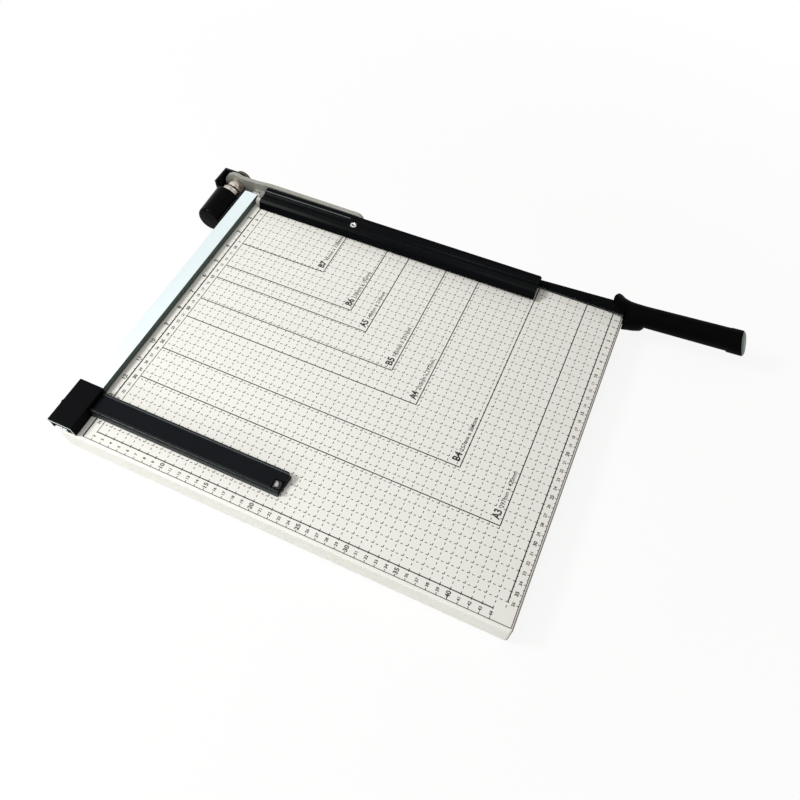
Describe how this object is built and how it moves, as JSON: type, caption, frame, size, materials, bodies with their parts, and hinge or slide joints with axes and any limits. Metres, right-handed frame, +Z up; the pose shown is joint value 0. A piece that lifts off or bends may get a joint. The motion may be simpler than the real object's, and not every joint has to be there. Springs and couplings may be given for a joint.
{
  "type": "paper trimmer",
  "caption": "Lever-arm paper trimmer: printed steel table, hinged cutting arm with handle and clamp, guide rail and sliding back stop.",
  "frame": {"origin": "middle of the whole trimmer in plan, on the surface it stands on", "axes": "+X along the cut from the pivot to the handle, +Y from the user's edge of the table to the cut, +Z up"},
  "size_m": [0.652, 0.3964, 0.0624],
  "materials": {
    "cream_enamel": "baked enamel, satin",
    "black_enamel": "baked enamel, satin",
    "black_plastic": "moulded, fine grain",
    "grey_casting": "matt grey, cast and plated",
    "bright_zinc": "bright zinc plated",
    "blade_steel": "ground steel",
    "rail_aluminium": "bright anodised",
    "green_enamel": "dark green enamel, gloss",
    "pale_plastic": "moulded, satin",
    "clear_plastic": "clear, polished",
    "grey_rubber": "matt"
  },
  "bodies": {
    "base": {"base_table": "cream_enamel", "foot_near_left": "grey_rubber", "foot_near_right": "grey_rubber", "foot_far_left": "grey_rubber", "foot_far_right": "grey_rubber", "foot_screw_1": "bright_zinc", "foot_screw_2": "bright_zinc", "foot_screw_3": "bright_zinc", "foot_screw_4": "bright_zinc", "stiffener_near": "bright_zinc", "stiffener_far": "bright_zinc", "fixed_blade": "blade_steel", "fixed_blade_screw_1": "bright_zinc", "fixed_blade_screw_2": "bright_zinc", "fixed_blade_screw_3": "bright_zinc", "fixed_blade_screw_4": "bright_zinc", "guide_rail": "rail_aluminium", "guide_rail_screw_1": "bright_zinc", "guide_rail_screw_2": "bright_zinc", "pivot_bracket": "green_enamel", "bracket_screw_1": "bright_zinc", "bracket_screw_2": "bright_zinc", "bracket_nut_1": "bright_zinc", "bracket_nut_2": "bright_zinc", "arm_stop": "bright_zinc", "pivot_bolt": "grey_casting", "pivot_spacer": "bright_zinc", "pivot_nut": "bright_zinc", "spring_cup": "bright_zinc", "pivot_spring": "blade_steel", "spring_cap": "black_plastic"},
    "arm": {"arm_root": "grey_casting", "arm_bolt_1": "bright_zinc", "arm_bolt_2": "bright_zinc", "arm_bolt_3": "bright_zinc", "arm_bar": "black_enamel", "moving_blade": "blade_steel", "blade_rivet_1": "bright_zinc", "blade_rivet_2": "bright_zinc", "blade_rivet_3": "bright_zinc", "blade_rivet_4": "bright_zinc", "handle_grip": "black_plastic", "handle_pin": "bright_zinc", "handle_end_cap": "pale_plastic", "clamp_carrier_1": "blade_steel", "clamp_carrier_2": "blade_steel", "clamp_screw": "black_enamel", "clamp_guide_pin": "bright_zinc", "clamp_spring": "blade_steel"},
    "clamp": {"clamp_bar": "black_enamel", "clamp_washer": "bright_zinc", "clamp_pad": "grey_rubber", "clamp_end_tab": "grey_casting"},
    "stop": {"stop_head": "black_plastic", "stop_arm": "black_plastic", "stop_window": "clear_plastic", "stop_arm_screw_1": "bright_zinc", "stop_arm_screw_2": "bright_zinc", "stop_spring": "blade_steel"}
  },
  "joints": [
    {"name": "arm_hinge", "type": "hinge", "parent": "base", "child": "arm", "pos_m": [-0.30367, 0.17813, 0.0343], "axis": [0, -1, 0], "range_deg": [-0.5, 70]},
    {"name": "clamp_travel", "type": "slide", "parent": "arm", "child": "clamp", "axis": [-0.0087, 0, 1], "range_m": [0, 0.0025], "stiffness_N_per_m": 1500, "springref_m": -0.001, "deforming": ["clamp_spring"]},
    {"name": "stop_slide", "type": "slide", "parent": "base", "child": "stop", "axis": [0, 1, 0], "range_m": [0, 0.255]}
  ]
}
